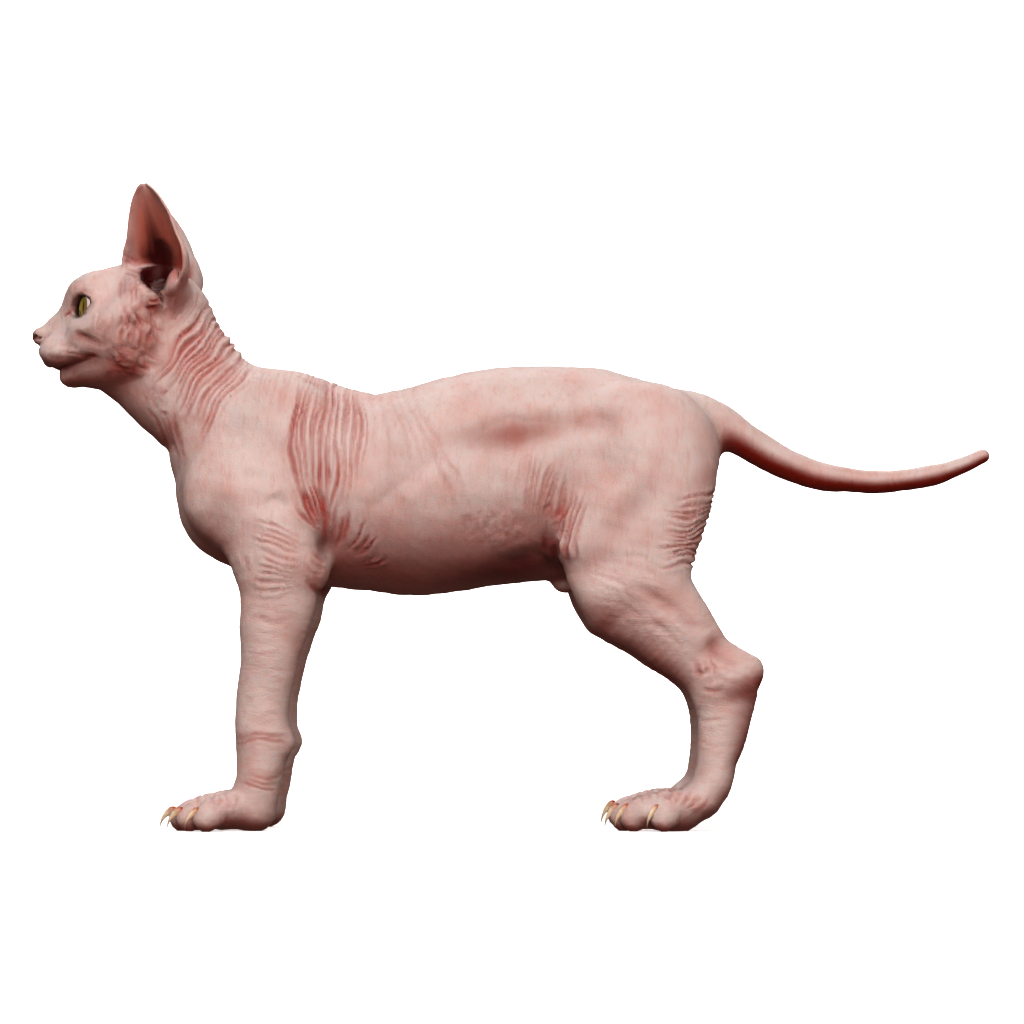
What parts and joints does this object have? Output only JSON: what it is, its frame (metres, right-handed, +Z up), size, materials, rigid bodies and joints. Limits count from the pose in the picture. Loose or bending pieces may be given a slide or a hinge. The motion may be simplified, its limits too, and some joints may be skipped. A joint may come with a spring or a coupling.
{
  "type": "sphynx cat, still life-size model",
  "caption": "Life-size still model of a standing hairless cat with upright ears, held-out tail and bare wrinkled skin.",
  "frame": {"origin": "on the floor at the bottom centre of the whole model's box", "axes": "+Z up, -X towards the nose, +X towards the tail's tip, +Y towards the cat's right side"},
  "size_m": [0.5382, 0.1126, 0.3559],
  "materials": {
    "skin": "bare warm skin, soft sheen, red in the folds",
    "eye": "wet, clear, olive green iris",
    "claw": "horn, ivory with darker tips"
  },
  "bodies": {
    "root": {"head": "skin", "neck": "skin", "torso": "skin", "tail_root": "skin", "tail_middle": "skin", "tail_tip": "skin", "left_upper_arm": "skin", "left_forearm": "skin", "left_fore_paw": "skin", "left_thigh": "skin", "left_shank": "skin", "left_hind_foot": "skin", "left_hind_paw": "skin", "left_ear": "skin", "left_eye": "eye", "right_upper_arm": "skin", "right_forearm": "skin", "right_fore_paw": "skin", "right_thigh": "skin", "right_shank": "skin", "right_hind_foot": "skin", "right_hind_paw": "skin", "right_ear": "skin", "right_eye": "eye"}
  },
  "joints": []
}
